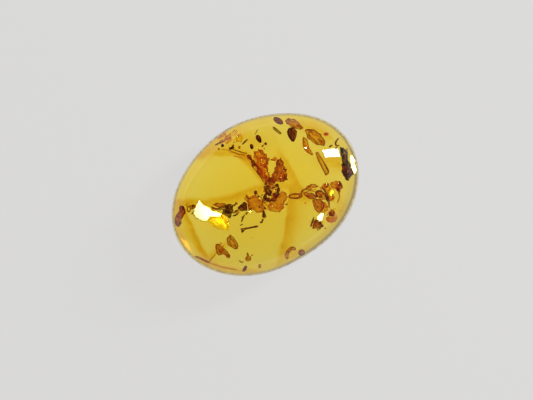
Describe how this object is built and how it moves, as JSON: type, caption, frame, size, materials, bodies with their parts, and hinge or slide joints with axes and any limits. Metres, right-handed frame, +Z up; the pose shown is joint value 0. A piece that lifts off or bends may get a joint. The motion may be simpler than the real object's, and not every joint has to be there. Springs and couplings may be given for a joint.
{
  "type": "amber stone",
  "caption": "Polished oval amber cabochon, clear golden yellow, with plant debris sealed in it; rests on its flat back, which is rounded at its edge.",
  "frame": {"origin": "middle of the stone's footprint, on the surface it rests on", "axes": "+X along the oval's long axis, +Z up out of the dome, +Y across the oval"},
  "size_m": [0.02, 0.015, 0.0074],
  "materials": {
    "amber": "polished clear golden yellow resin, index 1.54",
    "orange_flake": "glossy orange plant scale, wetted by the resin",
    "golden_flake": "thin golden plant scale, ribbed",
    "brown_bark": "rough red-brown bark",
    "dark_seed": "smooth dark red-brown seed coat",
    "olive_stem": "dull olive stem"
  },
  "bodies": {
    "root": {"amber_dome": "amber", "amber_back": "amber", "flake_top": "orange_flake", "flake_wing": "orange_flake", "flake_tear": "orange_flake", "chip_left": "orange_flake", "chip_edge": "orange_flake", "crust_upper": "orange_flake", "lobe_right": "orange_flake", "wing_right": "orange_flake", "flake_bottom": "orange_flake", "chip_right_top": "orange_flake", "chip_right_low": "orange_flake", "wing_left": "golden_flake", "reed_blade": "golden_flake", "strand_right": "golden_flake", "seed_dark": "brown_bark", "curl_right": "brown_bark", "bark_stick": "brown_bark", "needle_upper": "brown_bark", "bead_chain": "brown_bark", "bud": "brown_bark", "chip_triangle": "brown_bark", "leg_b": "brown_bark", "curl_left": "brown_bark", "flake_left_edge": "brown_bark", "loop_left": "brown_bark", "flake_bottom_left": "brown_bark", "seed_ring": "brown_bark", "splinter_edge": "brown_bark", "drop_bottom": "brown_bark", "flake_bottom_right": "brown_bark", "fork_ring": "brown_bark", "leaf_right_upper": "brown_bark", "leaf_mid": "brown_bark", "chip_right_big": "brown_bark", "bead_right": "brown_bark", "bead_right_low": "brown_bark", "chip_right_bottom": "brown_bark", "seed_top": "dark_seed", "chip_red": "dark_seed", "drop_big": "dark_seed", "drop_mid": "dark_seed", "needle_edge": "dark_seed", "drop_left": "dark_seed", "seed_left": "dark_seed", "knot_centre": "dark_seed", "bead_centre": "dark_seed", "thorn": "dark_seed", "hook_thorn": "dark_seed", "leg_a": "dark_seed", "twig_lower": "dark_seed", "clot_left": "dark_seed", "splinter_bottom": "dark_seed", "bead_bottom": "dark_seed", "tangle_right": "dark_seed", "strip_right_bottom": "dark_seed", "splinter_green": "olive_stem", "knot_left": "olive_stem"}
  },
  "joints": []
}
